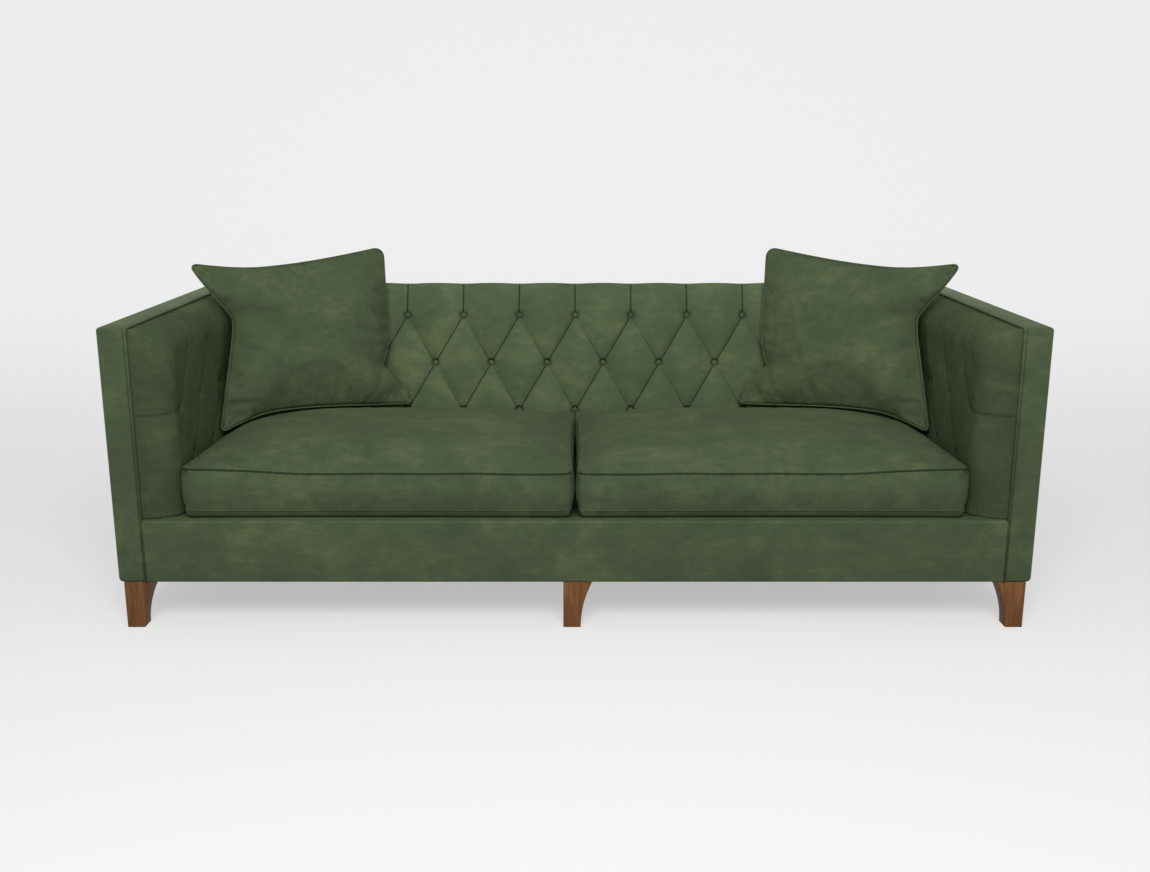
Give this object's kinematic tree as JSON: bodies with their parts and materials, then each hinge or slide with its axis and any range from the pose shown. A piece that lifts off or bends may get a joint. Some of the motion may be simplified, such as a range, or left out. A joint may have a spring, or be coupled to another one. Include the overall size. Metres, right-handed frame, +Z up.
{
  "type": "four-seater sofa",
  "caption": "Long upholstered sofa with arms and back of one height, deep-buttoned inside, loose seat and scatter cushions and curved wooden feet.",
  "frame": {"origin": "on the floor, under the middle of the footprint", "axes": "+X to the right of someone looking at its front, +Y towards its back, +Z up"},
  "size_m": [2.3, 0.95, 0.8927],
  "materials": {
    "upholstery": "brushed olive-green velvet",
    "frame_timber": "planed, unfinished",
    "foot_wood": "brown stain, satin",
    "hardboard": "pressed board",
    "bolt_steel": "zinc plated",
    "spring_steel": "oil-tempered",
    "clip_plastic": "moulded",
    "webbing": "woven",
    "deck_cloth": "plain lining cloth",
    "wadding": "felted",
    "foam": "open-cell foam",
    "feather": "cambric-cased feather",
    "lining": "spun-bonded cloth"
  },
  "bodies": {
    "sofa_frame": {"front_border": "upholstery", "arm_border_left": "upholstery", "arm_border_right": "upholstery", "back_top_border": "upholstery", "outside_arm_cover_left": "upholstery", "outside_arm_cover_right": "upholstery", "outside_back_cover": "upholstery", "back_pad": "upholstery", "arm_pad_left": "upholstery", "arm_pad_right": "upholstery", "back_buttons": "upholstery", "arm_buttons": "upholstery", "border_piping": "upholstery", "front_rail": "frame_timber", "rear_rail": "frame_timber", "spring_rail": "frame_timber", "side_rail_left": "frame_timber", "side_rail_right": "frame_timber", "seat_cross_rails": "frame_timber", "corner_blocks": "frame_timber", "arm_front_post_left": "frame_timber", "arm_front_post_right": "frame_timber", "arm_top_rail_left": "frame_timber", "arm_top_rail_right": "frame_timber", "back_corner_post_left": "frame_timber", "back_corner_post_right": "frame_timber", "back_uprights": "frame_timber", "back_top_rail": "frame_timber", "stay_rails": "frame_timber", "foot_front_left": "foot_wood", "foot_front_centre": "foot_wood", "foot_front_right": "foot_wood", "foot_rear_left": "foot_wood", "foot_rear_centre": "foot_wood", "foot_rear_right": "foot_wood", "outside_boards": "hardboard", "frame_bolts": "bolt_steel", "foot_hanger_bolts": "bolt_steel", "foot_tee_nuts": "bolt_steel", "seat_springs": "spring_steel", "spring_clips": "clip_plastic", "back_webbing": "webbing", "arm_webbing": "webbing", "deck_cloth": "deck_cloth", "deck_pad": "wadding", "dust_cover": "lining"},
    "seat_cushion_left": {"seat_cover_left": "upholstery", "seat_core_left": "foam", "seat_piping_left": "upholstery"},
    "seat_cushion_right": {"seat_cover_right": "upholstery", "seat_core_right": "foam", "seat_piping_right": "upholstery"},
    "scatter_cushion_left": {"scatter_cover_left": "upholstery", "scatter_filling_left": "feather", "scatter_piping_left": "upholstery"},
    "scatter_cushion_right": {"scatter_cover_right": "upholstery", "scatter_filling_right": "feather", "scatter_piping_right": "upholstery"}
  },
  "joints": [
    {"name": "seat_cushion_left_lift", "type": "slide", "parent": "sofa_frame", "child": "seat_cushion_left", "axis": [0, 0, 1], "range_m": [0, 0.5]},
    {"name": "seat_cushion_right_lift", "type": "slide", "parent": "sofa_frame", "child": "seat_cushion_right", "axis": [0, 0, 1], "range_m": [0, 0.5]},
    {"name": "scatter_cushion_left_lift", "type": "slide", "parent": "seat_cushion_left", "child": "scatter_cushion_left", "axis": [0, -0.6, 0.8], "range_m": [0, 0.6]},
    {"name": "scatter_cushion_right_lift", "type": "slide", "parent": "seat_cushion_right", "child": "scatter_cushion_right", "axis": [0, -0.6, 0.8], "range_m": [0, 0.6]}
  ]
}
